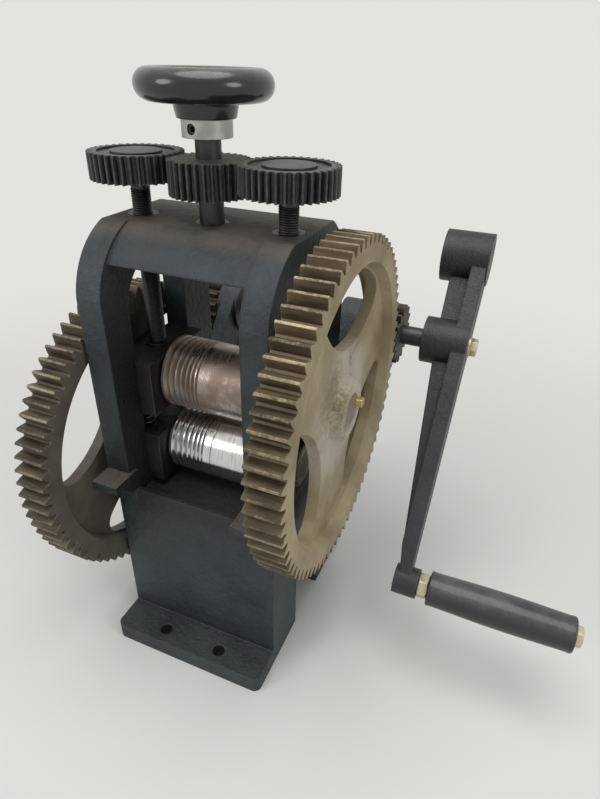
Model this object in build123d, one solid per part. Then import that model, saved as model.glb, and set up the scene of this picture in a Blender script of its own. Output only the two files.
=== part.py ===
from build123d import *
import math
import os

# Bench rolling mill, in mm. X runs along the rolls, towards the crank; -Y is the feeding side; Z is up.
# The origin is the middle of the four bench bolts, on the bench.

# Clearances
run_gap = 0.05       # radius of a shaft in its bush or nut
slide_gap = 0.15     # bearing block in its window
face_gap = 0.07      # side face of a turning piece
backlash = 0.34      # total play of a gear pair at the pitch circle

# Frame casting
frame_width = 133.0
post_width = 18.5
deck_z = 146.0
pedestal_half_depth = 63.0
foot_half_depth = 92.0
foot_thickness = 14.5
foot_corner_r = 6.0
bolt_spacing_x = 50.0
bolt_spacing_y = 160.0
bolt_hole_r = 5.0
tunnel_front = -18.0
tunnel_rear = 31.0
tunnel_top = 96.0
post_front = -69.0
post_rear = 57.0
shoulder_drop = 21.0   # where the crown's curves start, below the bridge
crown_front = -35.0
crown_rear = 29.0
bridge_bottom = 319.0
bridge_depth = 21.0
bridge_setback = 3.0
recess_depth = 6.0
recess_lip = 4.0
window_half = 33.0
ledge_reach = 18.0
ledge_lap = 2.5        # how far the ledge runs past the post's inner face
ledge_lap_depth = 7.0
ledge_top = 165.0
ledge_thickness = 6.0
ledge_gusset = 12.0

# Rolls
roll_y = -11.0
upper_z = 227.0
lower_z = 168.5
roll_r = 26.5
roll_half = 34.0
journal_r = 13.0
gear_seat_r = 12.0
groove_widths = (4.2, 3.8, 3.4, 3.0, 2.6, 2.2, 1.8)
groove_land = 1.1
ring_groove = 0.8
ring_groove_ends = (2.4, 30.8, 32.4)   # only the lower roll has these

# Bearing blocks
washer_space = 1.4
block_flange = 2.0
block_below = 22.5
block_above = 18.5
window_clear = 4.0     # window head below the underside of the bridge
bush_wall = 2.5
washer_r = 19.0

# Roll gears
module = 3.0
pressure = 25.0
big_teeth = 75
pinion_teeth = 15
gear_width = 23.0
web_thickness = 8.5
rim_inner_r = 98.0
hub_r = 20.0
recess_draft = 3.0
window_outer_r = 93.0
window_reach = 42.0     # from the gear's axis to the near edge of a window
window_inner_r = 68.0   # curve of that edge
window_fillet = 12.0
crank_window_turn = 80.5
far_window_turn = 145.5
crank_gear_gap = 11.0  # from the housing's outer face
far_gear_gap = 3.5
key_side = 6.0
key_length = 20.0
key_stand = 4.5

# Crank shaft and idler
crank_y = 124.0
crank_shaft_r = 8.0
bracket_width = 12.0
bracket_boss_r = 24.0
bracket_boss_reach = 1.0
bracket_root_low = 150.0
bracket_root_high = 185.0
idler_boss_r = 15.0
crank_bush_wall = 3.0
pinion_overhang = 1.0
pinion_hub_r = 16.0
shaft_end_r = 11.0
shaft_end_thickness = 3.0
idler_bush_wall = 2.5

# Crank arm
crank_throw = 196.0
tail_throw = 78.0
crank_lean = 41.5
crank_boss_r = 19.5
tail_boss_r = 21.8
tail_boss_length = 39.0
handle_boss_r = 11.5
bare_shaft = 20.1      # from the upper gear to the crank's boss
crank_boss_length = 36.9
tail_boss_stand = 1.0  # outside the arm's face
arm_plate = 12.0
arm_plate_tip = 7.5
arm_half_width = 16.0
arm_tip_half_width = 10.0
rib_half_width = 5.0
rib_depth = 15.0
rib_run = 0.86         # share of the throw over which the rib runs out
tail_rib_depth = 17.0
handle_boss_length = 18.5
crank_bolt_r = 4.0
crank_bolt_head = 13.0
crank_washer_r = 9.0
crank_washer_thickness = 1.6
crank_bolt_head_height = 5.5

# Handle
handle_bolt_r = 4.5
handle_nut = 17.0
handle_nut_height = 8.0
grip_length = 105.0
grip_end_r = 13.2
grip_neck_r = 12.4
grip_belly_r = 13.9
handle_head = 14.0
handle_head_height = 5.0

# Adjusting train
screw_r = 6.4
nut_r = 10.0
nut_flange_r = 12.5
nut_flange_height = 3.5
pad_r = 9.0
pad_height = 3.5
pad_seat = 1.0
fine_module = 1.5
fine_pressure = 20.0
side_teeth = 38
centre_teeth = 32
side_gear_lift = 21.9  # above the top of the frame
side_gear_width = 16.5
side_gear_cap = 4.4
side_ring_inner_r = 16.0
side_ring_outer_r = 24.0
side_ring_depth = 1.8
centre_gear_lift = 16.6
centre_gear_width = 20.8
centre_shaft_r = 7.8
centre_bush_r = 10.3
retainer_r = 12.0
retainer_height = 9.0
retainer_screw_r = 2.0

# Hand wheel
collar_lift = 11.6     # above the centre gear
collar_r = 15.0
collar_height = 10.0
set_screw_r = 3.0
set_screw_depth = 1.5
set_screw_angle = -97.0
wheel_hub_r = 18.8
wheel_hub_foot_r = 17.6
wheel_hub_height = 8.5
wheel_r = 39.5
wheel_rim_height = 17.0
wheel_dish_r = 21.0
wheel_dish_depth = 2.5
wheel_bore_depth = 12.0

# Lift springs
spring_r = 5.0
spring_wire_r = 0.9
spring_turns = 3.5
spring_stations = 14   # straight lengths of wire in each turn
spring_offset = 24.0

side_x = frame_width / 2
top_z = bridge_bottom + bridge_depth
shoulder_z = bridge_bottom - shoulder_drop
block_inner = roll_half + washer_space
crank_gear_face = side_x + crank_gear_gap
far_gear_face = side_x + far_gear_gap
crank_boss_x = crank_gear_face + gear_width + bare_shaft
arm_face_x = crank_boss_x + crank_boss_length
tail_boss_end_x = arm_face_x + tail_boss_stand
tail_boss_start_x = tail_boss_end_x - tail_boss_length
screw_x = fine_module * (side_teeth + centre_teeth) / 2
side_gear_z = top_z + side_gear_lift
centre_gear_z = top_z + centre_gear_lift
collar_z = centre_gear_z + centre_gear_width + collar_lift
post_inner = side_x - post_width
bush_r = journal_r + run_gap
block_bore_r = bush_r + bush_wall
crank_bush_r = crank_shaft_r + run_gap + crank_bush_wall
big_pitch_r = module * big_teeth / 2
pinion_pitch_r = module * pinion_teeth / 2
crank_z = upper_z
screw_bottom = upper_z + block_above - pad_seat + pad_height + face_gap
screw_top = side_gear_z + side_gear_width - side_gear_cap
wheel_z = collar_z + collar_height
pinion_width = gear_width + 2 * pinion_overhang
lean = math.radians(crank_lean)


def idler_place():
    # Meshes with the far side pinion and the lower roll's gear, on the low side of their centre line.
    run_y, run_z = roll_y - crank_y, lower_z - crank_z
    span = math.hypot(run_y, run_z)
    near, far = 2 * pinion_pitch_r, big_pitch_r + pinion_pitch_r
    along = (near**2 - far**2 + span**2) / (2 * span)
    off = math.sqrt(near**2 - along**2)
    unit_y, unit_z = run_y / span, run_z / span
    return crank_y + unit_y * along - unit_z * off, crank_z + unit_z * along + unit_y * off


idler_y, idler_z = idler_place()


def facing_x(x, y, z):
    return Plane(origin=(x, y, z), x_dir=(0, 1, 0), z_dir=(1, 0, 0))


def rod_x(r, x0, x1, y, z):
    return facing_x(min(x0, x1), y, z) * extrude(Circle(r), abs(x1 - x0))


def ring_x(r_out, r_in, x0, x1, y, z):
    return rod_x(r_out, x0, x1, y, z) - rod_x(r_in, x0, x1, y, z)


def rod_z(r, z0, z1, x, y):
    return Pos(x, y, z0) * extrude(Circle(r), z1 - z0)


def box(x0, x1, y0, y1, z0, z1):
    low_x, high_x = min(x0, x1), max(x0, x1)
    return Pos(low_x, y0, z0) * Box(high_x - low_x, y1 - y0, z1 - z0, align=Align.MIN)


def hexagon(across):
    return RegularPolygon(across / 2, 6, major_radius=False)


# Gears

def tooth_half_angle(r, pitch_r, base_r, teeth, angle):
    lean_at_r = math.acos(min(1.0, base_r / r))
    involute = math.tan(angle) - angle - math.tan(lean_at_r) + lean_at_r
    return math.pi / (2 * teeth) - backlash / (4 * pitch_r) + involute


def gear_outline(teeth, size, angle_deg, phase, flank_points):
    # Involute flanks on straight roots and tips; phase is the angle of one tooth's middle.
    angle = math.radians(angle_deg)
    pitch_r = size * teeth / 2
    base_r = pitch_r * math.cos(angle)
    root_r, tip_r = pitch_r - 1.25 * size, pitch_r + size
    start_r = max(root_r, base_r)
    steps = flank_points - 1
    radii = [start_r + (tip_r - start_r) * i / steps for i in range(flank_points)]
    flank = [(r, tooth_half_angle(r, pitch_r, base_r, teeth, angle)) for r in radii]
    if base_r > root_r:
        flank.insert(0, (root_r, flank[0][1]))
    points = []
    for tooth in range(teeth):
        middle = phase + 2 * math.pi * tooth / teeth
        sides = [(r, middle - half) for r, half in flank]
        sides += [(r, middle + half) for r, half in reversed(flank)]
        points += [(r * math.cos(a), r * math.sin(a)) for r, a in sides]
    return make_face(Polyline(*points, close=True))


def meshing_phase(phase, teeth, towards, other_teeth):
    # Phase of the second gear, whose spaces take the first one's teeth across their centre line.
    return towards + math.pi + ((towards - phase) * teeth - math.pi) / other_teeth


def web_window():
    # Opening between two spokes, on the positive side of X: two arcs that meet in rounded corners.
    blank = Circle(window_outer_r) & Pos(window_reach + window_inner_r, 0) * Circle(window_inner_r)
    return fillet(blank.vertices(), window_fillet)


def web_recess():
    # Ring cut out of each face between hub and rim, with sloping cast walls.
    depth = (gear_width - web_thickness) / 2
    outline = make_face(Polyline((hub_r, 0), (rim_inner_r, 0), (rim_inner_r - recess_draft, depth),
                                 (hub_r + recess_draft, depth), close=True))
    return revolve(Plane.XZ * outline, Axis.Z)


def roll_gear(face_x, z, phase, window_turn, hub_x):
    blank = extrude(gear_outline(big_teeth, module, pressure, phase, 3), gear_width)
    recess = web_recess()
    blank -= recess
    blank -= Pos(0, 0, gear_width) * mirror(recess, Plane.XY)
    for turn in range(3):
        blank -= Rot(0, 0, window_turn + 120 * turn) * extrude(web_window(), gear_width)
    gear = facing_x(face_x, roll_y, z) * blank
    if hub_x is not None:
        gear += rod_x(hub_r - recess_draft, hub_x, face_x, roll_y, z)
    start = face_x if hub_x is None else hub_x
    gear -= rod_x(gear_seat_r, start, face_x + gear_width, roll_y, z)
    return gear - keyway(face_x, z)


def keyway(face_x, z):
    middle = roll_y + gear_seat_r
    return box(face_x, face_x + gear_width, middle - key_side / 2, middle + key_side / 2,
               z - key_side / 2, z + key_side / 2)


def gear_key(end_x, z, stand):
    # Parallel key on the rear of the shaft; its outer end stands clear of the gear's face.
    inner = end_x - math.copysign(key_length, end_x)
    middle = roll_y + gear_seat_r
    return box(inner, end_x + math.copysign(stand, end_x), middle - key_side / 2, middle + key_side / 2,
               z - key_side / 2, z + key_side / 2)


# Frame

def arch_outline(inset):
    front, rear = post_front + inset, post_rear
    mid_front = front + (crown_front - post_front) * 0.32
    mid_rear = rear - (post_rear - crown_rear) * 0.32
    mid_z = shoulder_z + (top_z - shoulder_z) * 0.6
    sides = [Line((rear, shoulder_z), (rear, deck_z)), Line((rear, deck_z), (front, deck_z)),
             Line((front, deck_z), (front, shoulder_z))]
    crown_start = crown_front + inset
    arcs = [ThreePointArc((front, shoulder_z), (mid_front, mid_z), (crown_start, top_z)),
            Line((crown_start, top_z), (crown_rear, top_z)),
            ThreePointArc((crown_rear, top_z), (mid_rear, mid_z), (rear, shoulder_z))]
    return make_face(sides + arcs)


def housing_window():
    # Open way for the bearing blocks, with a round head under the bridge.
    head_z = bridge_bottom - window_clear - window_half
    return Pos(roll_y, (deck_z + head_z) / 2) * Rectangle(2 * window_half, head_z - deck_z) \
        + Pos(roll_y, head_z) * Circle(window_half)


def housing(side):
    x = min(side * post_inner, side * side_x)
    post = facing_x(x, 0, 0) * extrude(arch_outline(0), post_width)
    return post - facing_x(x, 0, 0) * extrude(housing_window(), post_width)


def front_ledge(side):
    low, high = side * (post_inner - ledge_lap), side * side_x
    bottom = ledge_top - ledge_thickness
    ledge = box(low, high, post_front - ledge_reach, post_front + ledge_lap_depth, bottom, ledge_top)
    profile = make_face(Polyline((post_front, bottom), (post_front - ledge_gusset, bottom),
                                 (post_front, bottom - ledge_gusset), close=True))
    return ledge + facing_x(min(side * post_inner, high), 0, 0) * extrude(profile, post_width)


def bracket(side):
    # Arm behind each housing that carries the crank shaft; the far one also holds the idler's stub.
    root = Line((post_rear - 1, bracket_root_low), (post_rear - 1, bracket_root_high))
    ends = [(Pos(crank_y, crank_z) * Circle(bracket_boss_r)).edge(),
            (Pos(idler_y, idler_z) * Circle(idler_boss_r)).edge()]
    web = make_hull([root] + ends)
    middle = side * (post_inner + post_width / 2)
    arm = facing_x(middle - bracket_width / 2, 0, 0) * extrude(web, bracket_width)
    outer = side * (side_x + bracket_boss_reach)
    arm += rod_x(bracket_boss_r, side * post_inner, outer, crank_y, crank_z)
    arm += rod_x(idler_boss_r, side * post_inner, outer, idler_y, idler_z)
    return arm - rod_x(crank_bush_r, side * post_inner, outer, crank_y, crank_z)


def pedestal():
    body = box(-side_x, side_x, -pedestal_half_depth, pedestal_half_depth, 0, deck_z)
    foot = Pos(0, 0, foot_thickness / 2) * Box(frame_width, 2 * foot_half_depth, foot_thickness)
    foot = fillet(foot.edges().filter_by(Axis.Z), foot_corner_r)
    body += foot
    width = tunnel_rear - tunnel_front
    middle = (tunnel_rear + tunnel_front) / 2
    spring_z = tunnel_top - width / 2
    tunnel = Pos(middle, spring_z / 2) * Rectangle(width, spring_z) + Pos(middle, spring_z) * Circle(width / 2)
    body -= facing_x(-side_x, 0, 0) * extrude(tunnel, frame_width)
    for x in (-bolt_spacing_x / 2, bolt_spacing_x / 2):
        for y in (-bolt_spacing_y / 2, bolt_spacing_y / 2):
            body -= rod_z(bolt_hole_r, 0, foot_thickness, x, y)
    edge = pedestal_half_depth - recess_lip
    return body - box(-post_inner, post_inner, -edge, edge, deck_z - recess_depth, deck_z)


def frame_casting():
    frame = pedestal() + housing(-1) + housing(1)
    bridge = facing_x(-post_inner, 0, 0) * extrude(arch_outline(bridge_setback), 2 * post_inner)
    frame += bridge & box(-post_inner, post_inner, post_front, post_rear, bridge_bottom, top_z)
    for side in (-1, 1):
        frame += front_ledge(side) + bracket(side)
        x = side * screw_x
        frame -= rod_z(nut_r, bridge_bottom, top_z, x, roll_y)
        frame -= rod_z(nut_flange_r + slide_gap, bridge_bottom - window_half, bridge_bottom, x, roll_y)
    frame -= rod_z(centre_bush_r, bridge_bottom, top_z, 0, roll_y)
    return frame - rod_x(crank_shaft_r, -side_x - bracket_boss_reach, -post_inner, idler_y, idler_z)


# Bearing blocks and rolls

def bearing_block(side, z):
    neck_half = window_half - slide_gap
    low, high = z - block_below, z + block_above
    block = box(side * post_inner, side * side_x, roll_y - neck_half, roll_y + neck_half, low, high)
    flange_half = window_half + block_flange
    block += box(side * block_inner, side * (post_inner - slide_gap), roll_y - flange_half,
                 roll_y + flange_half, low, high)
    block += box(side * (post_inner - slide_gap), side * post_inner, roll_y - neck_half,
                 roll_y + neck_half, low, high)
    return block - rod_x(block_bore_r, side * block_inner, side * side_x, roll_y, z)


def upper_block(side):
    top = upper_z + block_above
    return bearing_block(side, upper_z) - rod_z(pad_r, top - pad_seat, top, side * screw_x, roll_y)


def roll_bush(side, z):
    return ring_x(block_bore_r, bush_r, side * block_inner, side * side_x, roll_y, z)


def thrust_washers(z):
    inner, outer = roll_half + face_gap, block_inner - face_gap
    near = ring_x(washer_r, journal_r + 2 * run_gap, inner, outer, roll_y, z)
    return Compound([near, mirror(near, Plane.YZ)])


def roll_profile(left_end, right_end, ring_ends):
    # Half outline of a roll from one shaft end to the other, with its wire grooves at the far side.
    top = []
    x = -roll_half + 2 * groove_land
    for width in groove_widths:
        top += [(x, roll_r), (x + width / 2, roll_r - width / 2), (x + width, roll_r)]
        x += width + groove_land
    for x in ring_ends:
        top += [(x - ring_groove, roll_r), (x - ring_groove / 2, roll_r - ring_groove / 2), (x, roll_r)]
    return [(left_end, 0)] + shaft_step(left_end) + [(-roll_half, journal_r), (-roll_half, roll_r)] + top \
        + [(roll_half, roll_r), (roll_half, journal_r)] + shaft_step(right_end)[::-1] + [(right_end, 0)]


def shaft_step(end):
    # A shaft end that carries a gear steps down to its seat just outside the bearing.
    side = math.copysign(1.0, end)
    shoulder = side * (side_x + bracket_boss_reach)
    if abs(end) <= abs(shoulder):
        return [(end, journal_r)]
    return [(end, gear_seat_r), (shoulder, gear_seat_r), (shoulder, journal_r)]


def roll(z, left_end, right_end, ring_ends):
    outline = make_face(Polyline(*roll_profile(left_end, right_end, ring_ends), close=True))
    turned = revolve(outline, Axis.X)
    return Pos(0, roll_y, z) * turned


def spring_coil(height):
    # Round wire, bent here in short straight lengths.
    count = round(spring_turns * spring_stations)
    r = spring_r - spring_wire_r
    path = []
    for i in range(count + 1):
        turn = 2 * math.pi * i / spring_stations
        path.append((r * math.cos(turn), r * math.sin(turn), height * i / count))
    line = Polyline(*path)
    section = Plane(origin=line @ 0, z_dir=line % 0) * RegularPolygon(spring_wire_r, 6)
    return sweep(section, path=line, transition=Transition.RIGHT)


def lift_springs(side):
    # Two coil springs between a pair of bearing blocks, which hold the upper one against its screw.
    low, high = lower_z + block_above, upper_z - block_below
    coil = spring_coil(high - low - 2 * (spring_wire_r + run_gap))
    x = side * (block_inner + side_x) / 2
    base = low + spring_wire_r + run_gap
    return Compound([Pos(x, roll_y + y, base) * coil for y in (-spring_offset, spring_offset)])


# Adjusting train

def screw_nut(side):
    x = side * screw_x
    nut = rod_z(nut_r, bridge_bottom, top_z, x, roll_y)
    nut += rod_z(nut_flange_r, bridge_bottom - nut_flange_height, bridge_bottom, x, roll_y)
    return nut - rod_z(screw_r + run_gap, bridge_bottom - nut_flange_height, top_z, x, roll_y)


def side_gear(side, phase):
    blank = extrude(gear_outline(side_teeth, fine_module, fine_pressure, phase, 3), side_gear_width)
    ring = Pos(0, 0, side_gear_width - side_ring_depth) * extrude(Circle(side_ring_outer_r), side_ring_depth)
    ring -= Pos(0, 0, side_gear_width - side_ring_depth) * extrude(Circle(side_ring_inner_r), side_ring_depth)
    gear = Pos(side * screw_x, roll_y, side_gear_z) * (blank - ring)
    return gear - rod_z(screw_r, side_gear_z, screw_top, side * screw_x, roll_y)


def centre_gear():
    blank = extrude(gear_outline(centre_teeth, fine_module, fine_pressure, 0, 3), centre_gear_width)
    gear = Pos(0, roll_y, centre_gear_z) * blank
    return gear - rod_z(centre_shaft_r, centre_gear_z, centre_gear_z + centre_gear_width, 0, roll_y)


def centre_bush():
    bush = rod_z(centre_bush_r, bridge_bottom, top_z, 0, roll_y)
    return bush - rod_z(centre_shaft_r + run_gap, bridge_bottom, top_z, 0, roll_y)


def shaft_retainer():
    # Collar under the bridge that stops the centre shaft from lifting out.
    top = bridge_bottom - face_gap
    ring = rod_z(retainer_r, top - retainer_height, top, 0, roll_y)
    ring -= rod_z(centre_shaft_r, top - retainer_height, top, 0, roll_y)
    middle = top - retainer_height / 2
    return ring - Plane(origin=(0, roll_y, middle), z_dir=(0, -1, 0)) * extrude(Circle(retainer_screw_r),
                                                                               retainer_r)


def set_screw_plane():
    turn = math.radians(set_screw_angle)
    return Plane(origin=(0, roll_y, collar_z + collar_height / 2), z_dir=(math.cos(turn), math.sin(turn), 0))


def wheel_collar():
    ring = rod_z(collar_r, collar_z, wheel_z, 0, roll_y) - rod_z(centre_shaft_r, collar_z, wheel_z, 0, roll_y)
    return ring - set_screw_plane() * extrude(Circle(set_screw_r), collar_r)


def set_screw():
    length = collar_r - set_screw_depth - centre_shaft_r
    screw = Pos(0, 0, centre_shaft_r) * extrude(Circle(set_screw_r), length)
    socket = Pos(0, 0, centre_shaft_r + length / 2) * extrude(hexagon(set_screw_r), length / 2)
    shaft = extrude(Circle(collar_r), wheel_z)
    placed = set_screw_plane() * (screw - socket)
    return placed - Pos(0, roll_y, 0) * (shaft & rod_z(centre_shaft_r, 0, wheel_z, 0, 0))


def hand_wheel():
    # Turned hub with a thick round rim and a dished top.
    rim_z = wheel_z + wheel_hub_height
    top = rim_z + wheel_rim_height
    rim_r = wheel_rim_height / 2
    rim_x = wheel_r - rim_r
    edges = [Line((0, wheel_z), (wheel_hub_foot_r, wheel_z)),
             Line((wheel_hub_foot_r, wheel_z), (wheel_hub_r, rim_z)),
             Line((wheel_hub_r, rim_z), (rim_x, rim_z)),
             ThreePointArc((rim_x, rim_z), (wheel_r, rim_z + rim_r), (rim_x, top)),
             Line((rim_x, top), (wheel_dish_r, top - wheel_dish_depth)),
             Line((wheel_dish_r, top - wheel_dish_depth), (0, top - wheel_dish_depth)),
             Line((0, top - wheel_dish_depth), (0, wheel_z))]
    wheel = Pos(0, roll_y, 0) * revolve(Plane.XZ * make_face(edges), Axis.Z)
    return wheel - rod_z(centre_shaft_r, wheel_z, wheel_z + wheel_bore_depth, 0, roll_y)


# Crank train

def pinion(face_x, phase, y, z, bore_r):
    blank = extrude(gear_outline(pinion_teeth, module, pressure, phase, 4), pinion_width)
    gear = facing_x(face_x, y, z) * blank
    return gear - rod_x(bore_r, face_x, face_x + pinion_width, y, z)


def crank_pinion(phase):
    # The crank side pinion has a hub that spaces it from the bracket, and can turn a little on its shaft.
    face = crank_gear_face - pinion_overhang
    hub_start = side_x + bracket_boss_reach + 2 * face_gap
    bore = crank_shaft_r + run_gap
    gear = pinion(face, phase, crank_y, crank_z, bore)
    return gear + ring_x(pinion_hub_r, bore, hub_start, face, crank_y, crank_z)


def crank_bush(side):
    outer = side * (side_x + bracket_boss_reach)
    return ring_x(crank_bush_r, crank_shaft_r + run_gap, side * post_inner, outer, crank_y, crank_z)


def arm_place(distance):
    return crank_y - distance * math.sin(lean), crank_z - distance * math.cos(lean)


def arm_frame(x):
    # Local X runs down the arm to the handle, local Y across it, local Z along the crank shaft.
    return Plane(origin=(x, crank_y, crank_z), x_dir=(0, -math.sin(lean), -math.cos(lean)), z_dir=(1, 0, 0))


def arm_plate_outline():
    half, tip = arm_half_width, arm_tip_half_width
    return make_face(Polyline((-tail_throw, half), (0, half), (crank_throw, tip), (crank_throw, -tip),
                              (0, -half), (-tail_throw, -half), close=True))


def arm_side_outline():
    # Seen from along the bench: plate and rib, thinner towards the handle.
    face, back = arm_face_x, arm_face_x - arm_plate
    rib_end = crank_throw * rib_run
    return make_face(Polyline((-tail_throw, face), (crank_throw, face), (crank_throw, face - arm_plate_tip),
                              (rib_end, back), (0, back - rib_depth), (-tail_throw, back - tail_rib_depth),
                              close=True))


def crank_arm():
    side_plane = Plane(origin=(0, crank_y, crank_z), x_dir=(0, -math.sin(lean), -math.cos(lean)),
                       z_dir=(0, math.cos(lean), -math.sin(lean)))
    flip = -1 if side_plane.y_dir.X < 0 else 1
    outline = arm_side_outline() if flip > 0 else mirror(arm_side_outline(), Plane.XZ)
    rib = side_plane * extrude(outline, rib_half_width, both=True)
    slab = side_plane * extrude(outline, arm_half_width, both=True)
    plate = arm_frame(arm_face_x - arm_plate) * extrude(arm_plate_outline(), arm_plate)
    arm = rib + (slab & plate)
    tail_y, tail_z = arm_place(-tail_throw)
    grip_y, grip_z = arm_place(crank_throw)
    arm += rod_x(crank_boss_r, crank_boss_x, arm_face_x, crank_y, crank_z)
    arm += rod_x(tail_boss_r, tail_boss_start_x, tail_boss_end_x, tail_y, tail_z)
    arm += rod_x(handle_boss_r, handle_boss_start(), handle_boss_start() + handle_boss_length, grip_y, grip_z)
    arm -= rod_x(crank_shaft_r, crank_boss_x, crank_shaft_end(), crank_y, crank_z)
    arm -= rod_x(crank_bolt_r, crank_shaft_end(), arm_face_x, crank_y, crank_z)
    return arm - rod_x(handle_bolt_r, handle_boss_start(), handle_boss_start() + handle_boss_length,
                       grip_y, grip_z)


def handle_boss_start():
    return arm_face_x - arm_plate


def crank_shaft_end():
    return arm_face_x - arm_plate_tip


def crank_shaft():
    left = -far_gear_face - gear_width - pinion_overhang
    shaft = rod_x(crank_shaft_r, left, crank_shaft_end(), crank_y, crank_z)
    return shaft - rod_x(crank_bolt_r, crank_shaft_end() - 2 * crank_shaft_r, crank_shaft_end(), crank_y, crank_z)


def crank_bolt():
    start = arm_face_x + crank_washer_thickness
    head = facing_x(start, crank_y, crank_z) * extrude(hexagon(crank_bolt_head), crank_bolt_head_height)
    return head + rod_x(crank_bolt_r, crank_shaft_end() - 2 * crank_shaft_r, start, crank_y, crank_z)


def crank_washer():
    return ring_x(crank_washer_r, crank_bolt_r, arm_face_x, arm_face_x + crank_washer_thickness,
                  crank_y, crank_z)


def shaft_end_cap():
    start = -far_gear_face - gear_width - pinion_overhang
    cap = rod_x(shaft_end_r, start - shaft_end_thickness, start, crank_y, crank_z)
    head = facing_x(start - shaft_end_thickness - crank_bolt_head_height, crank_y, crank_z)
    return cap + head * extrude(hexagon(crank_bolt_head), crank_bolt_head_height)


def grip_start():
    return handle_boss_start() + handle_boss_length + handle_nut_height + 2 * face_gap


def handle_nut_piece():
    start = handle_boss_start() + handle_boss_length
    y, z = arm_place(crank_throw)
    nut = facing_x(start, y, z) * extrude(hexagon(handle_nut), handle_nut_height)
    return nut - rod_x(handle_bolt_r, start, start + handle_nut_height, y, z)


def handle_bolt():
    y, z = arm_place(crank_throw)
    head_x = grip_start() + grip_length + 2 * face_gap
    head = facing_x(head_x, y, z) * extrude(hexagon(handle_head), handle_head_height)
    return head + rod_x(handle_bolt_r, handle_boss_start(), head_x, y, z)


def handle_grip():
    y, z = arm_place(crank_throw)
    bore = handle_bolt_r + run_gap
    neck = grip_length / 8
    bend_r = (grip_end_r + 3 * grip_neck_r) / 4
    outline = make_face([Line((0, bore), (0, grip_end_r)),
                         ThreePointArc((0, grip_end_r), (neck / 2, bend_r), (neck, grip_neck_r)),
                         ThreePointArc((neck, grip_neck_r), (grip_length / 2, grip_belly_r),
                                       (grip_length - neck, grip_neck_r)),
                         ThreePointArc((grip_length - neck, grip_neck_r), (grip_length - neck / 2, bend_r),
                                       (grip_length, grip_end_r)),
                         Line((grip_length, grip_end_r), (grip_length, bore)),
                         Line((grip_length, bore), (0, bore))])
    return Pos(grip_start(), y, z) * revolve(outline, Axis.X)


def idler_stub():
    # Fixed pin with a head on the inner side of the bracket.
    outer = -far_gear_face - gear_width - pinion_overhang - shaft_end_thickness
    pin = rod_x(crank_shaft_r, outer, -post_inner, idler_y, idler_z)
    return pin + rod_x(shaft_end_r, -post_inner, -post_inner + shaft_end_thickness, idler_y, idler_z)


def idler_clip():
    start = -far_gear_face - gear_width - pinion_overhang - face_gap
    return ring_x(shaft_end_r, crank_shaft_r, start - shaft_end_thickness / 2, start, idler_y, idler_z)


def gear_phases():
    # The crank train's phases, worked outwards from one tooth of each crank shaft pinion.
    to_roll = math.pi
    upper = meshing_phase(0, pinion_teeth, to_roll, big_teeth)
    to_idler = math.atan2(idler_z - crank_z, idler_y - crank_y)
    idler = meshing_phase(0, pinion_teeth, to_idler, pinion_teeth)
    to_lower = math.atan2(lower_z - idler_z, roll_y - idler_y)
    lower = meshing_phase(idler, pinion_teeth, to_lower, big_teeth)
    return upper, idler, lower


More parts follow.
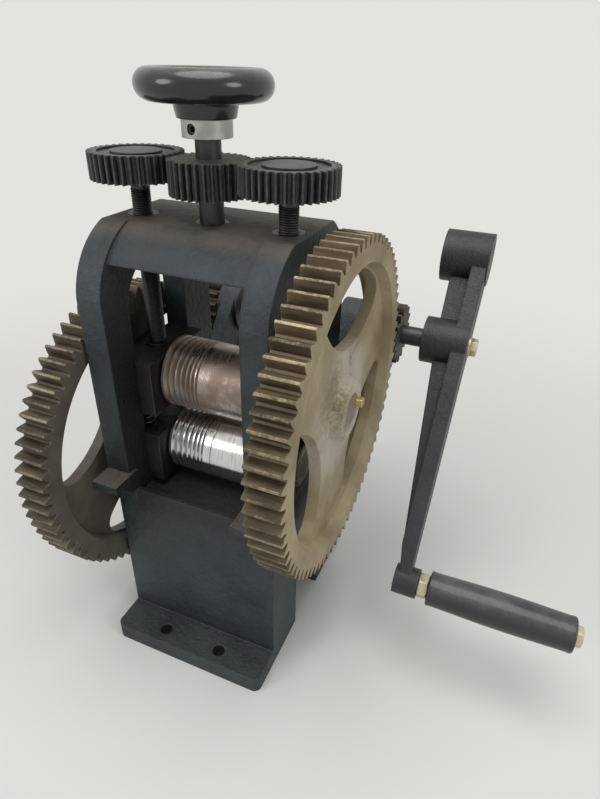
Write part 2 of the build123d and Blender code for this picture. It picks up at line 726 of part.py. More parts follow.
def build():
    upper_phase, idler_phase, lower_phase = gear_phases()
    far_face = -far_gear_face - gear_width
    crank_outer = crank_gear_face + gear_width
    far_outer = far_gear_face + gear_width
    plain_end = side_x
    upper_end, lower_end = crank_outer, -far_outer
    hub_start = side_x + bracket_boss_reach
    idler_bore = crank_shaft_r + run_gap + idler_bush_wall
    pinion_face = far_face - pinion_overhang
    parts = {
        "frame_casting": frame_casting(),
        "lower_roll": roll(lower_z, lower_end, plain_end, ring_groove_ends) - gear_key(lower_end, lower_z, 0),
        "upper_roll": roll(upper_z, -plain_end, upper_end, ()) - gear_key(upper_end, upper_z, 0),
        "upper_roll_gear": roll_gear(crank_gear_face, upper_z, upper_phase, crank_window_turn, hub_start),
        "lower_roll_gear": roll_gear(far_face, lower_z, lower_phase, far_window_turn, None),
        "upper_gear_key": gear_key(upper_end, upper_z, key_stand),
        "lower_gear_key": gear_key(lower_end, lower_z, key_stand),
        "upper_thrust_washers": thrust_washers(upper_z),
        "lower_thrust_washers": thrust_washers(lower_z),
        "crank_shaft": crank_shaft(),
        "crank_pinion": crank_pinion(0),
        "far_pinion": pinion(pinion_face, 0, crank_y, crank_z, crank_shaft_r),
        "idler_gear": pinion(pinion_face, idler_phase, idler_y, idler_z, idler_bore),
        "idler_bush": ring_x(idler_bore, crank_shaft_r + run_gap, pinion_face, pinion_face + pinion_width,
                             idler_y, idler_z),
        "idler_stub": idler_stub(),
        "idler_clip": idler_clip(),
        "shaft_end_cap": shaft_end_cap(),
        "crank_arm": crank_arm(),
        "crank_bolt": crank_bolt(),
        "crank_washer": crank_washer(),
        "handle_nut": handle_nut_piece(),
        "handle_bolt": handle_bolt(),
        "handle_grip": handle_grip(),
        "centre_gear": centre_gear(),
        "centre_shaft": rod_z(centre_shaft_r, bridge_bottom - face_gap - retainer_height,
                              wheel_z + wheel_bore_depth, 0, roll_y),
        "centre_bush": centre_bush(),
        "shaft_retainer": shaft_retainer(),
        "wheel_collar": wheel_collar(),
        "collar_set_screw": set_screw(),
        "hand_wheel": hand_wheel(),
    }
    for side, name in ((-1, "left"), (1, "right")):
        towards = 0 if side > 0 else math.pi
        phase = meshing_phase(0, centre_teeth, towards, side_teeth)
        parts["lower_block_" + name] = bearing_block(side, lower_z)
        parts["upper_block_" + name] = upper_block(side)
        parts["lower_bush_" + name] = roll_bush(side, lower_z)
        parts["upper_bush_" + name] = roll_bush(side, upper_z)
        parts["lift_springs_" + name] = lift_springs(side)
        parts["screw_nut_" + name] = screw_nut(side)
        parts["adjusting_screw_" + name] = rod_z(screw_r, screw_bottom, screw_top, side * screw_x, roll_y)
        parts["thrust_pad_" + name] = rod_z(pad_r, screw_bottom - face_gap - pad_height,
                                            screw_bottom - face_gap, side * screw_x, roll_y)
        parts["side_gear_" + name] = side_gear(side, phase)
        parts["crank_bush_" + name] = crank_bush(side)
    return parts


os.makedirs("parts", exist_ok=True)
for node, shape in build().items():
    export_step(shape, "parts/" + node + ".step")
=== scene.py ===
import bpy
import math
from mathutils import Matrix, Vector


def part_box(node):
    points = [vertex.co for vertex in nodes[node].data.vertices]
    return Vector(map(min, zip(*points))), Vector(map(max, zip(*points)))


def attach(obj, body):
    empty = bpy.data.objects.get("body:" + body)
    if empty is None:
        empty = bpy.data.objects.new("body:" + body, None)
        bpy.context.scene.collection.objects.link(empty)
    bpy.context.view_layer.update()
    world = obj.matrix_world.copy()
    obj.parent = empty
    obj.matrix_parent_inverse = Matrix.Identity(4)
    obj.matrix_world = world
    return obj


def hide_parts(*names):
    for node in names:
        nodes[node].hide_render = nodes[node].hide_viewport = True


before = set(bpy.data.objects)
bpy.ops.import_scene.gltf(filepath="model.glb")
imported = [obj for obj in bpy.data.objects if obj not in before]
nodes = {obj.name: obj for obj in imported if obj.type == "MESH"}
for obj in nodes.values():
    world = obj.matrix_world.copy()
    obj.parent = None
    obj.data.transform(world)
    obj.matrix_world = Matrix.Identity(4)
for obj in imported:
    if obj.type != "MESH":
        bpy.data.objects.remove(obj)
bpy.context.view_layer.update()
print("frame loaded", len(nodes), "nodes")


# Shader sums: a wire is one output, and its sums and products add their own Math nodes.
class Wire:
    def __init__(self, paint, socket):
        self.paint = paint
        self.socket = socket

    def calc(self, operation, *values):
        inputs = {place: value for place, value in enumerate(values)}
        return self.paint.node("ShaderNodeMath", {"operation": operation}, inputs)

    def __add__(self, other):
        return self.calc("ADD", self, other)

    def __sub__(self, other):
        return self.calc("SUBTRACT", self, other)

    def __mul__(self, other):
        return self.calc("MULTIPLY", self, other)

    def __rsub__(self, other):
        return self.calc("SUBTRACT", other, self)

    def __pow__(self, other):
        return self.calc("POWER", self, other)

    __radd__ = __add__
    __rmul__ = __mul__

    def root(self):
        return self.calc("SQRT", self)

    def smaller(self, other):
        return self.calc("MINIMUM", self, other)

    def larger(self, other):
        return self.calc("MAXIMUM", self, other)

    def ramp(self, low, high, start=0.0, end=1.0):
        settings = {"interpolation_type": "SMOOTHSTEP"}
        inputs = {"Value": self, "From Min": low, "From Max": high, "To Min": start, "To Max": end}
        return self.paint.node("ShaderNodeMapRange", settings, inputs)


class Paint:
    def __init__(self, name, roughness=0.5, metallic=0.0):
        self.material = bpy.data.materials.new(name)
        self.material.use_nodes = True
        self.tree = self.material.node_tree
        self.shader = self.tree.nodes["Principled BSDF"]
        self.set(Roughness=roughness, Metallic=metallic)
        self.place = self.node("ShaderNodeTexCoord", out="Object")

    def feed(self, socket, value):
        if isinstance(value, Wire):
            self.tree.links.new(value.socket, socket)
        elif socket.type == "RGBA":
            socket.default_value = (*value, 1.0) if len(value) == 3 else value
        else:
            socket.default_value = value

    def node(self, kind, settings=None, inputs=None, out=0):
        made = self.tree.nodes.new(kind)
        for key, value in (settings or {}).items():
            setattr(made, key, value)
        for key, value in (inputs or {}).items():
            self.feed(made.inputs[key], value)
        return Wire(self, made.outputs[out])

    def set(self, **values):
        for key, value in values.items():
            self.feed(self.shader.inputs[key.replace("_", " ")], value)
        return self

    def axes(self, vector=None):
        made = self.tree.nodes.new("ShaderNodeSeparateXYZ")
        self.feed(made.inputs[0], vector or self.place)
        return [Wire(self, made.outputs[number]) for number in range(3)]

    def stretch(self, scale):
        return self.node("ShaderNodeMapping", {}, {"Vector": self.place, "Scale": scale})

    def noise(self, scale, detail=4.0, rough=0.55, vector=None, twist=0.0):
        inputs = {"Vector": vector or self.place, "Scale": scale, "Detail": detail, "Roughness": rough,
                  "Distortion": twist}
        return self.node("ShaderNodeTexNoise", {}, inputs)

    def mix(self, factor, first, second):
        # 0, 6 and 7 are the colour form's factor and its two colours, and output 2 is its result
        return self.node("ShaderNodeMix", {"data_type": "RGBA"}, {0: factor, 6: first, 7: second}, out=2)

    def upward(self):
        normal = self.node("ShaderNodeNewGeometry", out="Normal")
        return self.axes(normal)[2]

    def edges(self, radius, low=0.02, high=0.25):
        # Where the rounded normal leaves the flat one: the corners that hands and tools rub bare, and where
        # small machined parts get a painted highlight.
        soft = self.node("ShaderNodeBevel", {"samples": 6}, {"Radius": radius})
        flat = self.node("ShaderNodeNewGeometry", out="True Normal")
        same = self.node("ShaderNodeVectorMath", {"operation": "DOT_PRODUCT"}, {0: soft, 1: flat}, out="Value")
        return (1.0 - same).ramp(low, high)

    def hollows(self, reach, low=0.35, high=0.9):
        open_share = self.node("ShaderNodeAmbientOcclusion", {"samples": 8, "only_local": True},
                               {"Distance": reach}, out="AO")
        return open_share.ramp(low, high, 1.0, 0.0)

    def bump(self, height, depth, strength=1.0, radius=None):
        inputs = {"Height": height, "Distance": depth, "Strength": strength}
        if radius:
            inputs["Normal"] = self.node("ShaderNodeBevel", {"samples": 6}, {"Radius": radius})
        self.set(Normal=self.node("ShaderNodeBump", {}, inputs))
        return self


def castPaint(name, look):
    # Thick satin paint over sand-cast iron, rubbed at the corners, with dust on its top and front ledges, and
    # painted shade in its hollows and on the inner faces between the housings.
    paint = Paint(name)
    x, y, z = paint.axes()
    cloud = paint.noise(look["cloud"], 5, 0.6)
    grain = paint.noise(look["grain"], 3, 0.6)
    body = paint.mix(cloud.ramp(0.3, 0.7), look["dark"], look["light"])
    # painted shade: the hollows are darkened almost to black
    body = paint.mix(paint.hollows(look["hollow"]) * look["hollowShade"], body, look["shadeTint"])
    if look["innerShade"]:
        # painted shade blackens the inner faces, between the housings and from the deck up to the bridge
        outer, inner = look["innerFace"]
        innerShade = (x * x).ramp(outer ** 2, inner ** 2) * z.ramp(*look["deck"]) * z.ramp(*look["bridge"])
        body = paint.mix(innerShade * look["innerShade"], body, look["shadeTint"])
    dustyHeight = z.ramp(*look["crown"]) + z.ramp(*look["ledgeTop"]) * z.ramp(*look["aboveLedge"])
    dustyHeight = (dustyHeight + look["lowDust"]).smaller(1.0)
    dust = paint.upward().ramp(0.55, 0.92) * (cloud + grain * 0.3).ramp(0.3, 0.75) * dustyHeight * look["dust"]
    body = paint.mix(dust, body, look["dustTint"])
    worn = paint.edges(look["edge"]) * (grain + cloud * 0.6).ramp(0.55, 1.0) * look["wear"]
    body = paint.mix(worn, body, look["bare"])
    paint.set(Base_Color=body, Roughness=look["rough"] + grain * 0.22 + dust * 0.25, Metallic=worn * 0.5)
    height = paint.noise(look["sand"], 3, 0.7) * 0.5 + paint.noise(look["lumps"], 4, 0.6)
    return paint.bump(height, look["depth"], 0.9, look["round"])


def gearPaint(name, look, centre):
    # Gold-brown paint on a cast gear: dark flanks of oil and painted shade, bright rubbed tips, a pale patch
    # round the hub.
    paint = Paint(name)
    y, z = paint.axes()[1:]
    reach = ((y - centre[0]) ** 2 + (z - centre[1]) ** 2).root()
    cloud = paint.noise(look["cloud"], 5, 0.62, twist=0.4)
    grain = paint.noise(look["grain"], 3, 0.6)
    smear = paint.noise(1.0, 4, 0.6, paint.stretch(look["smear"]))
    body = paint.mix(cloud.ramp(0.3, 0.72), look["dark"], look["light"])
    # painted shade: the tooth roots and other hollows are darkened
    body = paint.mix((paint.hollows(0.016, 0.15, 0.75) * look["hollowShade"]).smaller(1.0), body, look["oilAndShade"])
    hub = reach.ramp(look["hub"], look["hub"] * 0.55) * (cloud * 0.8 + grain * 0.5).ramp(0.5, 0.72)
    body = paint.mix(hub * look["patch"], body, look["pale"])
    along = paint.axes(paint.node("ShaderNodeNewGeometry", out="True Normal"))[0]
    cut = 1.0 - (along * along).ramp(0.3, 0.8)
    teeth = reach.ramp(look["toothStart"], look["toothStart"] + look["toothFade"])
    flank = teeth * cut * (smear * 0.5 + cloud * 0.7 + 0.3).ramp(0.35, 0.75)
    # the flanks are darkened towards oil brown: grease, and painted shade on the faces of the teeth
    body = paint.mix(flank * look["flank"], body, paint.mix(smear.ramp(0.35, 0.7), look["oilAndShade"], look["brown"]))
    tip = reach.ramp(look["tip"] - 0.0004, look["tip"] - 0.0001) * cut
    worn = (paint.edges(0.0008, 0.04, 0.35) * (grain * 0.6 + smear * 0.7).ramp(0.45, 0.85)).larger(
        tip * (grain * 0.7 + smear * 0.9).ramp(0.62, 1.0) * 0.8)
    body = paint.mix(worn * look["wear"], body, look["bare"])
    paint.set(Base_Color=body, Roughness=0.5 + grain * 0.2 - worn * 0.2, Metallic=worn * 0.55 + flank * 0.2)
    height = paint.noise(look["sand"], 3, 0.7) * 0.35 + paint.noise(look["lumps"], 4, 0.6)
    return paint.bump(height, look["depth"], 0.6, look["round"])


def rollSteel(name, look):
    # Ground steel with streaks round the roll, brown stains and a few bright bands where metal ran through.
    paint = Paint(name, metallic=1.0)
    streaks = paint.noise(1.0, 4, 0.6, paint.stretch(look["streaks"]))
    stain = paint.noise(look["stain"], 6, 0.65, twist=0.6)
    rust = (stain * 0.8 + streaks * 0.35).ramp(look["rustLow"], look["rustHigh"])
    body = paint.mix(streaks.ramp(0.25, 0.75), look["dark"], look["light"])
    body = paint.mix(rust * look["rust"], body, look["brown"])
    # painted shade: the roll's grooves and hollows are darkened
    body = paint.mix(paint.hollows(0.004, 0.3, 0.9) * 0.7, body, look["oilAndShade"])
    rough = look["rough"] + rust * 0.22 + streaks * 0.12
    paint.set(Base_Color=body, Roughness=rough, Metallic=1.0 - rust * 0.45)
    return paint.bump(streaks * 0.5 + stain * 0.3, 0.0002, 0.35, 0.0004)


def metal(name, colour, rough, stain, amount):
    # Small machined parts: cloudy, stained in their hollows, with a painted highlight along corners rounded by
    # 0.4 mm.
    paint = Paint(name, metallic=1.0)
    corner = 0.0004
    cloud = paint.noise(90, 5, 0.6)
    grain = paint.noise(900, 3, 0.6)
    dim = tuple(value * 0.72 for value in colour)
    cornerHighlight = tuple(min(1.0, value * 1.5 + 0.03) for value in colour)
    body = paint.mix(cloud.ramp(0.3, 0.7), dim, colour)
    body = paint.mix((cloud * 0.7 + paint.hollows(0.003) * 0.6).ramp(0.4, 0.9) * amount, body, stain)
    # painted highlight: the corners are made brighter
    body = paint.mix(paint.edges(corner, 0.03, 0.3) * 0.5, body, cornerHighlight)
    paint.set(Base_Color=body, Roughness=rough + cloud * 0.12 + grain * 0.08)
    return paint.bump(grain * 0.6 + cloud, 0.00012, 0.4, corner)


def plastic(name, colour, rough, dusty):
    # Moulded black plastic with a thin gloss, and dust on what faces up.
    paint = Paint(name, rough)
    cloud = paint.noise(45, 5, 0.6)
    fine = paint.noise(600, 4, 0.65)
    dust = paint.upward().ramp(0.2, 1.0) * (cloud + fine * 0.4).ramp(0.45, 0.9) * dusty
    body = paint.mix(dust, colour, (0.28, 0.27, 0.25))
    paint.set(Base_Color=body, Roughness=rough + cloud * 0.1 + dust * 0.35, Coat_Weight=0.25)
    return paint.bump(fine * 0.3 + cloud, 0.00012, 0.35, 0.0005)


# Cast pieces. Pairs of heights and widths are where a band begins and is full, in metres.
frameLook = {
    "cloud": 24, "grain": 260, "sand": 520, "lumps": 170, "depth": 0.0012, "round": 0.0016, "rough": 0.44,
    "dark": (0.013, 0.018, 0.022), "light": (0.030, 0.039, 0.045), "dust": 0.85, "lowDust": 0.12,
    "dustTint": (0.115, 0.100, 0.082), "hollowShade": 0.6, "shadeTint": (0.007, 0.007, 0.007), "hollow": 0.012,
    "wear": 0.5, "edge": 0.0014, "bare": (0.15, 0.15, 0.15), "innerShade": 0.85, "innerFace": (0.0495, 0.0480),
    "deck": (0.120, 0.135), "bridge": (0.3205, 0.3185), "crown": (0.331, 0.338), "ledgeTop": (0.160, 0.163),
    "aboveLedge": (0.167, 0.166),
}
blockLook = dict(frameLook, dark=(0.008, 0.008, 0.008), light=(0.020, 0.019, 0.018), rough=0.34, wear=0.35,
                 dust=0.0, depth=0.0005, innerShade=0)
crankLook = dict(frameLook, dark=(0.012, 0.012, 0.015), light=(0.024, 0.025, 0.030), dust=0.0, rough=0.38,
                 lumps=60, depth=0.0008, innerShade=0)
fineGearLook = dict(frameLook, dark=(0.016, 0.017, 0.018), light=(0.036, 0.037, 0.037), rough=0.38, dust=0.8,
                    dustTint=(0.12, 0.12, 0.105), wear=0.9, bare=(0.2, 0.2, 0.19), depth=0.0004, round=0.0005,
                    innerShade=0)

# Large gears and their pinions. Radii about the gear's own axis, in metres.
gearLook = {
    "cloud": 22, "grain": 420, "smear": (30, 160, 160), "sand": 700, "lumps": 90, "depth": 0.0005,
    "round": 0.0006, "dark": (0.205, 0.160, 0.088), "light": (0.37, 0.305, 0.185),
    "toothStart": 0.1085, "toothFade": 0.0006,
    "tip": 0.1155, "hub": 0.062, "hollowShade": 0.65, "oilAndShade": (0.034, 0.022, 0.012), "brown": (0.150, 0.104, 0.055),
    "flank": 0.9, "patch": 0.85, "pale": (0.47, 0.41, 0.36), "wear": 0.75, "bare": (0.55, 0.45, 0.27),
}
# The lower gear wears the same gold paint as the upper one; its darker colours are painted shade.
shadedGearLook = dict(gearLook, dark=(0.062, 0.054, 0.042), light=(0.120, 0.106, 0.082), patch=0.1, hollowShade=0.8,
                   bare=(0.36, 0.31, 0.21), flank=0.75, brown=(0.16, 0.125, 0.075))
pinionLook = dict(gearLook, toothStart=0.0187, tip=0.0255, hub=0.001, hollowShade=0.9, dark=(0.030, 0.026, 0.020),
                  light=(0.065, 0.056, 0.042), bare=(0.26, 0.23, 0.17), brown=(0.05, 0.038, 0.024))

# Rolls.
rollLook = {
    "streaks": (1400, 60, 60), "stain": 30, "rustLow": 0.42, "rustHigh": 0.66, "rust": 0.85,
    "dark": (0.30, 0.27, 0.25), "light": (0.55, 0.50, 0.46), "brown": (0.20, 0.13, 0.09),
    "oilAndShade": (0.03, 0.02, 0.015), "rough": 0.17,
}
lowerRollLook = dict(rollLook, rustLow=0.62, rustHigh=0.85, rust=0.35, light=(0.78, 0.79, 0.80),
                     dark=(0.50, 0.50, 0.50), rough=0.12)

# Where the axes of the turning pieces cross the plane X = 0, as (y, z) in metres.
upperAxis = (-0.011, 0.227)
lowerAxis = (-0.011, 0.1685)
crankAxis = (0.124, 0.227)
idlerAxis = (0.12332, 0.18200)

finishes = {
    "framePaint": castPaint("framePaint", frameLook),
    "blockIron": castPaint("blockIron", blockLook),
    "crankPaint": castPaint("crankPaint", crankLook),
    "fineGearIron": castPaint("fineGearIron", fineGearLook),
    "upperGearPaint": gearPaint("upperGearPaint", gearLook, upperAxis),
    "lowerGearShadedPaint": gearPaint("lowerGearShadedPaint", shadedGearLook, lowerAxis),
    "pinionPaint": gearPaint("pinionPaint", pinionLook, crankAxis),
    "idlerPaint": gearPaint("idlerPaint", pinionLook, idlerAxis),
    "rollSteel": rollSteel("rollSteel", rollLook),
    "lowerRollSteel": rollSteel("lowerRollSteel", lowerRollLook),
    "bronze": metal("bronze", (0.50, 0.34, 0.15), 0.32, (0.05, 0.035, 0.02), 0.8),
    "darkSteel": metal("darkSteel", (0.075, 0.075, 0.08), 0.36, (0.05, 0.03, 0.02), 0.5),
    "zincSteel": metal("zincSteel", (0.66, 0.60, 0.42), 0.28, (0.16, 0.11, 0.05), 0.5),
    "collarSteel": metal("collarSteel", (0.45, 0.44, 0.42), 0.34, (0.2, 0.17, 0.12), 0.45),
    "keySteel": metal("keySteel", (0.62, 0.52, 0.26), 0.3, (0.2, 0.14, 0.06), 0.4),
    "gripPlastic": plastic("gripPlastic", (0.012, 0.013, 0.020), 0.34, 0.25),
    "wheelPlastic": plastic("wheelPlastic", (0.010, 0.010, 0.012), 0.16, 0.3),
}
print("finishes made", len(finishes))

nodeFinish = {
    "frame_casting": "framePaint", "lower_roll": "lowerRollSteel", "upper_roll": "rollSteel",
    "upper_roll_gear": "upperGearPaint", "lower_roll_gear": "lowerGearShadedPaint", "upper_gear_key": "keySteel",
    "lower_gear_key": "keySteel", "upper_thrust_washers": "bronze", "lower_thrust_washers": "bronze",
    "crank_shaft": "darkSteel", "crank_pinion": "pinionPaint", "far_pinion": "pinionPaint",
    "idler_gear": "idlerPaint", "idler_bush": "bronze", "idler_stub": "darkSteel", "idler_clip": "darkSteel",
    "shaft_end_cap": "zincSteel", "crank_arm": "crankPaint", "crank_bolt": "zincSteel",
    "crank_washer": "zincSteel", "handle_nut": "zincSteel", "handle_bolt": "zincSteel",
    "handle_grip": "gripPlastic", "centre_gear": "fineGearIron", "centre_shaft": "darkSteel",
    "centre_bush": "blockIron", "shaft_retainer": "darkSteel", "wheel_collar": "collarSteel",
    "collar_set_screw": "darkSteel", "hand_wheel": "wheelPlastic",
}
for side in ("left", "right"):
    nodeFinish.update({
        "lower_block_" + side: "blockIron", "upper_block_" + side: "blockIron", "lower_bush_" + side: "bronze",
        "upper_bush_" + side: "bronze", "lift_springs_" + side: "darkSteel", "screw_nut_" + side: "blockIron",
        "adjusting_screw_" + side: "darkSteel", "thrust_pad_" + side: "darkSteel",
        "side_gear_" + side: "fineGearIron", "crank_bush_" + side: "blockIron",
    })


def dress(thing, finish):
    thing.data.materials.clear()
    thing.data.materials.append(finishes[finish].material)


for name, thing in nodes.items():
    dress(thing, nodeFinish[name])


mm = 0.001


def clearSelection():
    bpy.ops.object.select_all(action="DESELECT")


def pick(piece):
    clearSelection()
    piece.select_set(True)
    bpy.context.view_layer.objects.active = piece


def settle():
    bpy.ops.object.transform_apply(location=True, rotation=True, scale=True)


def closeMesh(merge=0.0, holeSides=0):
    # Merges points nearer than merge, in mm, closes small holes and turns every face outward.
    bpy.ops.object.mode_set(mode="EDIT")
    bpy.ops.mesh.select_all(action="SELECT")
    if merge:
        bpy.ops.mesh.remove_doubles(threshold=merge * mm)
    if holeSides:
        bpy.ops.mesh.fill_holes(sides=holeSides)
    bpy.ops.mesh.normals_make_consistent(inside=False)
    bpy.ops.object.mode_set(mode="OBJECT")


def arc(centre, radius, start, end, count):
    # Points of an outline's round corner, as (radius, height) pairs.
    turns = [math.radians(start + (end - start) * step / count) for step in range(count + 1)]
    return [(centre[0] + radius * math.cos(turn), centre[1] + radius * math.sin(turn)) for turn in turns]


def turned(outline, sides, hollow=False):
    # Lathe work: one ring is extruded and scaled from step to step of the outline.
    clearSelection()
    fill = "NOTHING" if hollow else "NGON"
    bpy.ops.mesh.primitive_circle_add(vertices=sides, radius=outline[0][0] * mm, fill_type=fill,
                                      location=(0, 0, outline[0][1] * mm))
    bpy.ops.object.mode_set(mode="EDIT")
    bpy.ops.mesh.select_all(action="SELECT")
    for (oldRadius, oldHeight), (radius, height) in zip(outline, outline[1:]):
        bpy.ops.mesh.extrude_region_move(TRANSFORM_OT_translate={"value": (0, 0, (height - oldHeight) * mm)})
        wider = radius / oldRadius
        bpy.ops.transform.resize(value=(wider, wider, 1), center_override=(0, 0, height * mm))
    bpy.ops.mesh.select_all(action="SELECT")
    if hollow:
        bpy.ops.mesh.remove_doubles(threshold=1e-6)
    bpy.ops.mesh.normals_make_consistent(inside=False)
    bpy.ops.object.mode_set(mode="OBJECT")
    settle()
    return bpy.context.object


def applyAll(piece):
    bpy.context.view_layer.objects.active = piece
    for modifier in list(piece.modifiers):
        bpy.ops.object.modifier_apply(modifier=modifier.name)


def joined(first, *others):
    clearSelection()
    for piece in (first, *others):
        piece.select_set(True)
    bpy.context.view_layer.objects.active = first
    bpy.ops.object.join()
    return first


def seat(piece, place, alongX=False):
    pick(piece)
    piece.location = [value * mm for value in place]
    piece.rotation_euler = (0, math.radians(90) if alongX else 0, 0)
    settle()


def finishPiece(piece, look, softAngle=35):
    pick(piece)
    bpy.ops.object.shade_smooth_by_angle(angle=math.radians(softAngle))
    piece.name = look["name"]
    piece.data.name = look["name"]
    dress(piece, look["finish"])
    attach(piece, look["body"])
    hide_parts(look["stands"])


# Hand wheel: moulded in one, with a round rim, a soft shoulder under it and a shallow dish on top.
wheel = {"name": "handWheelBody", "body": "hand_wheel", "slot": "wheel_plastic", "finish": "wheelPlastic",
         "stands": "hand_wheel", "place": (0, -11, 399), "footRadius": 17.6, "hubRadius": 18.8,
         "hubHeight": 8.5, "radius": 39.5, "rim": 17.0, "dishRadius": 21.0, "dishDepth": 2.5, "sides": 128}


def addHandWheel(look):
    rimRadius = look["rim"] / 2
    rimCentre = (look["radius"] - rimRadius, look["hubHeight"] + rimRadius)
    top = look["hubHeight"] + look["rim"]
    outline = [(7.8, 0), (look["footRadius"] - 0.8, 0)]
    outline += arc((look["footRadius"] - 0.8, 0.8), 0.8, -90, 0, 4)[1:]
    outline += arc((look["hubRadius"] + 2.0, look["hubHeight"] - 2.0), 2.0, 180, 90, 6)
    outline += arc(rimCentre, rimRadius, -90, 90, 28)
    outline += [(rimCentre[0] - 4.0, top - 0.35), (look["dishRadius"] + 3.0, top - look["dishDepth"] + 0.55),
                (look["dishRadius"], top - look["dishDepth"] + 0.12)]
    outline += [(look["dishRadius"] * share, top - look["dishDepth"]) for share in (0.85, 0.5, 0.02)]
    piece = turned(outline, look["sides"])
    seat(piece, look["place"])
    finishPiece(piece, look, 60)


addHandWheel(wheel)


# Handle grip: moulded sleeve with flared ends, free to turn on its bolt.
grip = {"name": "gripSleeve", "body": "grip", "slot": "grip_plastic", "finish": "gripPlastic",
        "stands": "handle_grip", "bore": 4.6, "end": 13.2, "neck": 12.4, "belly": 13.85, "neckAt": 13.0,
        "length": 105.0, "corner": 1.4, "sides": 96}


def addGrip(look):
    low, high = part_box("handle_grip")
    length, corner = look["length"], look["corner"]
    middle = ((low[1] + high[1]) / 2 / mm, (low[2] + high[2]) / 2 / mm)
    outline = [(look["bore"], length), (look["bore"], 0), (look["end"] - corner, 0)]
    outline += arc((look["end"] - corner, corner), corner, -90, 0, 5)[1:]
    for step in range(1, 32):
        share = step / 32
        place = corner + (length - 2 * corner) * share
        flare = math.exp(-min(place, length - place) / look["neckAt"] * 1.6)
        belly = look["neck"] + (look["belly"] - look["neck"]) * math.sin(math.pi * share) ** 0.9
        outline.append((belly + (look["end"] - look["neck"]) * flare * 0.9, place))
    outline += arc((look["end"] - corner, length - corner), corner, 0, 90, 5)
    outline.append((look["bore"], length))
    piece = turned(outline, look["sides"], hollow=True)
    seat(piece, (low[0] / mm, *middle), alongX=True)
    finishPiece(piece, look, 50)


addGrip(grip)
print("hand wheel and grip turned")


# Hexagons: prisms cut by a cone at one or both ends, with their shanks as (radius, inner end, outer end).
hexagons = [
    {"name": "crankBolt", "stands": "crank_bolt", "body": "crank", "across": 13.0, "height": 5.5,
     "shank": (4.0, -24.6, 0), "bothEnds": False, "outward": 1},
    {"name": "handleBolt", "stands": "handle_bolt", "body": "crank", "across": 14.0, "height": 5.0,
     "shank": (4.5, -131.78, 0), "bothEnds": False, "outward": 1},
    {"name": "handleNut", "stands": "handle_nut", "body": "crank", "across": 17.0, "height": 8.0,
     "shank": None, "bothEnds": True, "outward": 1},
    {"name": "shaftEndBolt", "stands": "shaft_end_cap", "body": "crank", "across": 13.0, "height": 5.5,
     "shank": (11.0, -3.0, 0), "bothEnds": False, "outward": -1},
]
hexagonCut = {"faceShare": 0.475, "slope": 30, "clear": 0.2, "beyond": 1.0, "turn": 1.7, "sliver": 0.03,
              "edge": 0.12, "edgeAngle": 25, "shankEdge": 0.4}


def addHexagon(look, cut):
    low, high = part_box(look["stands"])
    middle = ((low[1] + high[1]) / 2 / mm, (low[2] + high[2]) / 2 / mm)
    height = look["height"]
    corner = look["across"] / math.sqrt(3)
    face = look["across"] * cut["faceShare"]
    slope = (corner - face) * math.tan(math.radians(cut["slope"]))
    wide = corner + cut["clear"]
    # the cone runs on past the ends and is turned a little, so it shares no plane or edge with the prism
    beyond = cut["beyond"]
    narrow = face - beyond * (wide - face) / slope
    cone = [(narrow, -beyond), (wide, slope)] if look["bothEnds"] else [(wide, -beyond)]
    cutter = turned(cone + [(wide, height - slope), (narrow, height + beyond)], 72)
    cutter.rotation_euler = (0, 0, math.radians(cut["turn"]))
    settle()
    clearSelection()
    bpy.ops.mesh.primitive_cylinder_add(vertices=6, radius=corner * mm, depth=height * mm,
                                        location=(0, 0, height / 2 * mm))
    piece = bpy.context.object
    settle()
    chamfer = piece.modifiers.new("chamfer", "BOOLEAN")
    chamfer.operation = "INTERSECT"
    chamfer.object = cutter
    applyAll(piece)
    bpy.data.objects.remove(cutter)
    closeMesh(merge=cut["sliver"])
    edge = piece.modifiers.new("edge", "BEVEL")
    edge.width = cut["edge"] * mm
    edge.segments = 2
    edge.limit_method = "ANGLE"
    edge.angle_limit = math.radians(cut["edgeAngle"])
    applyAll(piece)
    closeMesh(merge=cut["sliver"] / 10)
    if look["shank"]:
        radius, foot, end = look["shank"]
        edge = cut["shankEdge"]
        shank = turned([(radius - edge, foot), (radius, foot + edge), (radius, end - 0.05)], 64)
        piece = joined(piece, shank)
    if look["outward"] < 0:
        piece.scale = (1, 1, -1)
        pick(piece)
        settle()
        closeMesh()
    outer = high[0] / mm - height if look["outward"] > 0 else low[0] / mm + height
    seat(piece, (outer, *middle), alongX=True)
    finishPiece(piece, dict(look, finish="zincSteel", slot="zinc_steel"), 30)


for hexagon in hexagons:
    addHexagon(hexagon, hexagonCut)
print("bolt heads and nut cut")


# Adjusting screws: a plain seat for the gear, and below it a left-hand thread that shows under the bridge.
screw = {"radius": 6.4, "root": 5.65, "pitch": 1.5, "bottom": 246.57, "top": 374.0, "threadStart": 249.5,
         "threadEnd": 357.0, "x": 52.5, "y": -11.0, "steps": 28}


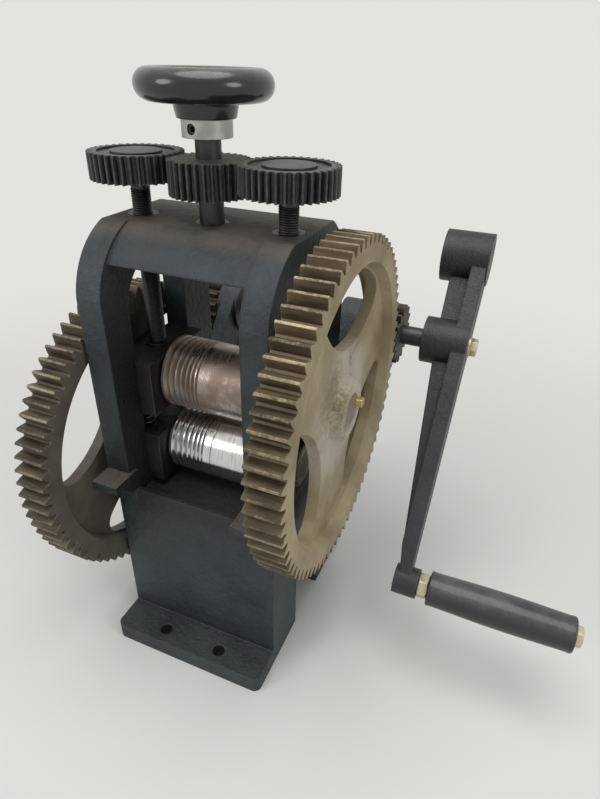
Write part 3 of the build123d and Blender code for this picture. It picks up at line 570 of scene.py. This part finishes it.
def addScrew(look, side, sign):
    shank = turned([(look["root"] - 0.8, look["bottom"]), (look["root"], look["bottom"] + 0.8),
                    (look["root"], look["threadEnd"] + 0.6), (look["radius"], look["threadEnd"] + 1.4),
                    (look["radius"], look["top"] - 0.6), (look["radius"] - 0.6, look["top"])], 56)
    clearSelection()
    middle = (look["radius"] + look["root"]) / 2 - 0.1
    bpy.ops.mesh.primitive_circle_add(vertices=4, radius=1, location=(middle * mm, 0, look["threadStart"] * mm),
                                      rotation=(math.radians(90), 0, 0))
    ridge = bpy.context.object
    ridge.scale = ((look["radius"] - middle) * mm, look["pitch"] * 0.46 * mm, 1)
    settle()
    wind = ridge.modifiers.new("wind", "SCREW")
    wind.axis = "Z"
    wind.angle = -2 * math.pi
    wind.screw_offset = look["pitch"] * mm
    wind.iterations = int((look["threadEnd"] - look["threadStart"]) / look["pitch"])
    wind.steps = look["steps"]
    wind.render_steps = look["steps"]
    wind.use_merge_vertices = True
    applyAll(ridge)
    closeMesh(holeSides=4)
    piece = joined(shank, ridge)
    seat(piece, (sign * look["x"], look["y"], 0))
    finishPiece(piece, {"name": side + "ScrewThread", "body": side + "_screw", "slot": "dark_steel",
                        "finish": "darkSteel", "stands": "adjusting_screw_" + side}, 25)


addScrew(screw, "left", -1)
addScrew(screw, "right", 1)
print("adjusting screws threaded")


# Gear keys: square bar with its sawn end rounded off.
keys = [{"name": "upperKeyBar", "stands": "upper_gear_key", "body": "upper_roll", "corner": 0.9},
        {"name": "lowerKeyBar", "stands": "lower_gear_key", "body": "lower_roll", "corner": 0.9}]


def addKey(look):
    low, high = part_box(look["stands"])
    clearSelection()
    size = [end - start for start, end in zip(low, high)]
    middle = [(start + end) / 2 for start, end in zip(low, high)]
    bpy.ops.mesh.primitive_cube_add(size=1, location=middle, scale=size)
    piece = bpy.context.object
    settle()
    edge = piece.modifiers.new("edge", "BEVEL")
    edge.width = look["corner"] * mm
    edge.segments = 4
    applyAll(piece)
    finishPiece(piece, dict(look, finish="keySteel", slot="zinc_steel"), 40)


for key in keys:
    addKey(key)
print("keys rounded")


# Camera: place, turn and lens, set out from the photograph's perspective.
cameraSet = {"place": (0.19097, -0.32664, 0.43130), "yaw": 0.38617, "pitch": 0.54371, "roll": 0.02640,
             "lens": 25.693}


def addCamera(at):
    yaw, pitch, roll = at["yaw"], at["pitch"], at["roll"]
    ahead = Vector((-math.sin(yaw) * math.cos(pitch), math.cos(yaw) * math.cos(pitch), -math.sin(pitch)))
    right = Vector((math.cos(yaw), math.sin(yaw), 0))
    up = right.cross(ahead)
    tiltRight = right * math.cos(roll) + up * math.sin(roll)
    tiltUp = up * math.cos(roll) - right * math.sin(roll)
    turn = Matrix((tiltRight, tiltUp, -ahead)).transposed().to_4x4()
    camera = bpy.data.objects.new("camera", bpy.data.cameras.new("camera"))
    bpy.context.scene.collection.objects.link(camera)
    camera.matrix_world = Matrix.Translation(at["place"]) @ turn
    camera.data.lens = at["lens"]
    camera.data.clip_start = 0.01
    bpy.context.scene.camera = camera


# Studio: a pale floor that fades into the backdrop, a broad lamp overhead and soft ones from the sides.
# Each lamp has its name, place, target, size in metres and power in watts.
studio = {"floorSize": 14.0, "floorDrop": 0.0002, "floorRough": 0.75, "floorTint": (0.74, 0.735, 0.715),
          "floorDim": 0.97, "seen": (0.775, 0.765, 0.735), "air": 0.42, "airTint": (0.82, 0.83, 0.84),
          "fadeStart": 0.25, "fadeEnd": 0.95,
          "lamps": [("overhead", (0.1, -0.2, 1.9), (0, 0, 0.2), 1.6, 21.0),
                    ("frontLeft", (-1.3, -1.6, 1.2), (0, 0, 0.2), 1.0, 11.0),
                    ("right", (1.8, -0.4, 0.9), (0, 0, 0.2), 0.8, 7.0)]}


def addLamp(name, place, target, size, power):
    lamp = bpy.data.objects.new(name, bpy.data.lights.new(name, "AREA"))
    lamp.data.shape = "DISK"
    lamp.data.size = size
    lamp.data.energy = power
    lamp.location = place
    lamp.rotation_euler = (Vector(target) - Vector(place)).to_track_quat("-Z", "Y").to_euler()
    bpy.context.scene.collection.objects.link(lamp)


def addWorld(at):
    world = bpy.data.worlds.new("studio")
    world.use_nodes = True
    bpy.context.scene.world = world
    tree = world.node_tree
    air = tree.nodes["Background"]
    air.inputs["Color"].default_value = (*at["airTint"], 1)
    air.inputs["Strength"].default_value = at["air"]
    seen = tree.nodes.new("ShaderNodeBackground")
    seen.inputs["Color"].default_value = (*at["seen"], 1)
    rays = tree.nodes.new("ShaderNodeLightPath")
    either = tree.nodes.new("ShaderNodeMath")
    either.operation = "MAXIMUM"
    tree.links.new(rays.outputs["Is Camera Ray"], either.inputs[0])
    tree.links.new(rays.outputs["Is Glossy Ray"], either.inputs[1])
    choose = tree.nodes.new("ShaderNodeMixShader")
    tree.links.new(either.outputs[0], choose.inputs[0])
    tree.links.new(air.outputs[0], choose.inputs[1])
    tree.links.new(seen.outputs[0], choose.inputs[2])
    tree.links.new(choose.outputs[0], tree.nodes["World Output"].inputs["Surface"])


def addFloor(at):
    clearSelection()
    bpy.ops.mesh.primitive_plane_add(size=at["floorSize"], location=(0, 0, -at["floorDrop"]))
    floor = bpy.context.object
    floor.name = "floor"
    paint = Paint("floorPaint", at["floorRough"])
    soft = paint.noise(1.3, 3, 0.5)
    dim = tuple(value * at["floorDim"] for value in at["floorTint"])
    paint.set(Base_Color=paint.mix(soft.ramp(0.3, 0.7), dim, at["floorTint"]))
    x, y = paint.axes()[:2]
    cameraRay = paint.node("ShaderNodeLightPath", out="Is Camera Ray")
    glossyRay = paint.node("ShaderNodeLightPath", out="Is Glossy Ray")
    away = (x ** 2 + y ** 2).root().ramp(at["fadeStart"], at["fadeEnd"]) * cameraRay.larger(glossyRay)
    glow = paint.node("ShaderNodeEmission", {}, {"Color": at["seen"], "Strength": 1.0})
    blend = paint.tree.nodes.new("ShaderNodeMixShader")
    paint.feed(blend.inputs[0], away)
    paint.tree.links.new(paint.shader.outputs[0], blend.inputs[1])
    paint.tree.links.new(glow.socket, blend.inputs[2])
    paint.tree.links.new(blend.outputs[0], paint.tree.nodes["Material Output"].inputs["Surface"])
    floor.data.materials.append(paint.material)


def addStudio(at):
    addFloor(at)
    addWorld(at)
    for lamp in at["lamps"]:
        addLamp(*lamp)


addCamera(cameraSet)
addStudio(studio)
bpy.context.scene.view_settings.view_transform = "Standard"
print("camera and studio ready")
